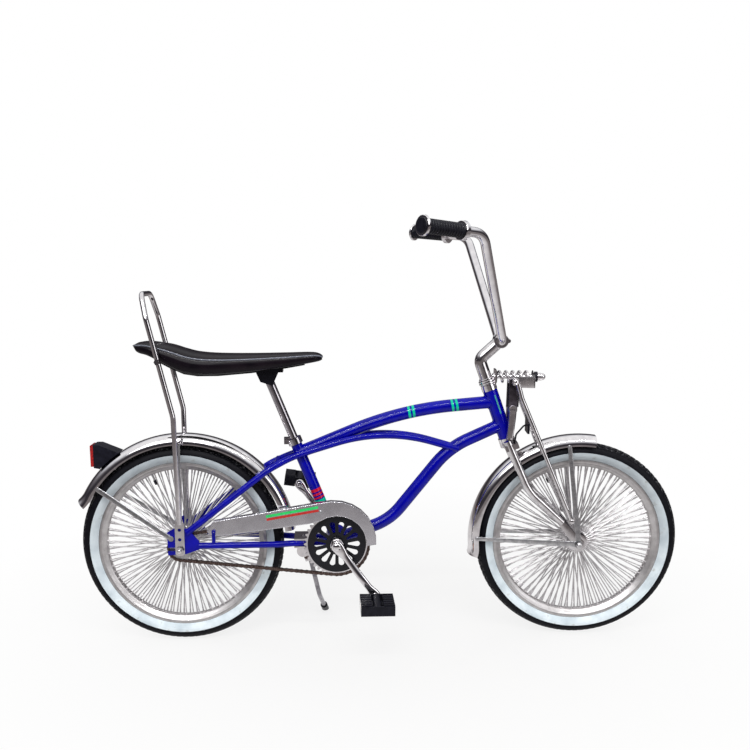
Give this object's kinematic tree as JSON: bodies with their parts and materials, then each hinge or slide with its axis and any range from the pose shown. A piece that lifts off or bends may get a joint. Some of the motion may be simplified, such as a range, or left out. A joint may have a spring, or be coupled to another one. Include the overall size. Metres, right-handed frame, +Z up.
{
  "type": "chopper bicycle",
  "caption": "Single-speed lowrider-style bicycle with ape-hanger handlebar, springer fork, banana saddle, sissy bar, chrome fenders and a side stand.",
  "frame": {"origin": "on the ground under the middle of the bounding box", "axes": "+X forwards, +Y to the bicycle's left, the side it leans to, +Z up"},
  "size_m": [1.5241, 0.6684, 1.0693],
  "materials": {
    "frame_paint": "gloss",
    "chrome": "polished",
    "steel": "satin",
    "tyre": "matte",
    "rubber": "matte",
    "saddle_vinyl": "satin",
    "black_paint": "gloss",
    "black_plastic": "matte",
    "chain_steel": "satin",
    "red_lens": "gloss",
    "amber_reflector": "gloss"
  },
  "bodies": {
    "frame": {"bb_cups": "chrome", "bottom_bracket_shell": "frame_paint", "brake_arm": "chrome", "chain": "chain_steel", "chain_guard": "chrome", "chain_stays": "frame_paint", "down_tube": "frame_paint", "guard_bracket": "frame_paint", "head_tube": "frame_paint", "headset_cups": "chrome", "mid_tubes": "frame_paint", "rear_axle": "steel", "rear_dropouts": "frame_paint", "rear_fender": "chrome", "rear_fender_stays": "chrome", "saddle": "saddle_vinyl", "saddle_clamp": "steel", "saddle_pan": "black_paint", "seat_post": "chrome", "seat_tube": "frame_paint", "sissy_bar": "chrome", "stand_bracket": "chrome", "tail_light_housing": "black_plastic", "tail_light_lens": "red_lens", "top_tube": "frame_paint"},
    "fork": {"steerer": "chrome", "fork_blades": "chrome", "struts": "chrome", "link_plates": "chrome", "link_sleeve": "rubber", "yoke": "chrome", "spring_bracket": "chrome", "headset_nut": "chrome", "spring_bolt": "chrome", "coil_spring": "chrome", "spring_seats": "black_plastic", "handlebar": "chrome", "stem": "chrome", "grips": "rubber", "front_fender": "chrome", "front_fender_stays": "chrome", "reflector_front": "black_plastic", "front_axle": "steel"},
    "front_wheel": {"tyre_front": "tyre", "rim_front": "chrome", "spokes_front": "chrome"},
    "rear_wheel": {"tyre_rear": "tyre", "rim_rear": "chrome", "spokes_rear": "chrome"},
    "crank": {"crank_arms": "chrome", "chainring": "chrome", "chainring_disc": "black_paint"},
    "cog": {"cog": "steel"},
    "pedal_right": {"pedal_body_right": "rubber", "pedal_reflectors_right": "amber_reflector"},
    "pedal_left": {"pedal_body_left": "rubber", "pedal_reflectors_left": "amber_reflector"},
    "kickstand": {"stand_leg": "chrome", "stand_foot": "rubber"}
  },
  "joints": [
    {"name": "steering", "type": "hinge", "parent": "frame", "child": "fork", "pos_m": [0.29663, -0.03378, 0.58718], "axis": [-0.3418, 0.0655, 0.9375], "range_deg": [-50.2, 59.8]},
    {"name": "front_wheel_spin", "type": "hinge", "parent": "fork", "child": "front_wheel", "pos_m": [0.50634, -0.06389, 0.25612], "axis": [0.078, 0.9961, -0.0412], "continuous": true},
    {"name": "rear_wheel_spin", "type": "hinge", "parent": "frame", "child": "rear_wheel", "pos_m": [-0.50259, -0.05695, 0.25597], "axis": [0, 0.9976, -0.0698], "continuous": true},
    {"name": "crank_spin", "type": "hinge", "parent": "frame", "child": "crank", "pos_m": [-0.11189, -0.05661, 0.26077], "axis": [0, 0.9976, -0.0698], "continuous": true},
    {"name": "cog_spin", "type": "hinge", "parent": "frame", "child": "cog", "pos_m": [-0.50259, -0.10284, 0.25918], "axis": [0, 0.9976, -0.0698], "continuous": true},
    {"name": "pedal_right_spin", "type": "hinge", "parent": "crank", "child": "pedal_right", "pos_m": [-0.01581, -0.21096, 0.14645], "axis": [0, 0.9976, -0.0698], "continuous": true},
    {"name": "pedal_left_spin", "type": "hinge", "parent": "crank", "child": "pedal_left", "pos_m": [-0.20796, 0.09774, 0.37509], "axis": [0, 0.9976, -0.0698], "continuous": true},
    {"name": "stand_pivot", "type": "hinge", "parent": "frame", "child": "kickstand", "pos_m": [-0.18324, -0.02238, 0.2056], "axis": [-0.03, 0.9988, -0.0398], "range_deg": [0, 100]}
  ],
  "couplings": [
    {"joint": "cog_spin", "follows": "crank_spin", "ratio": 2.5}
  ]
}
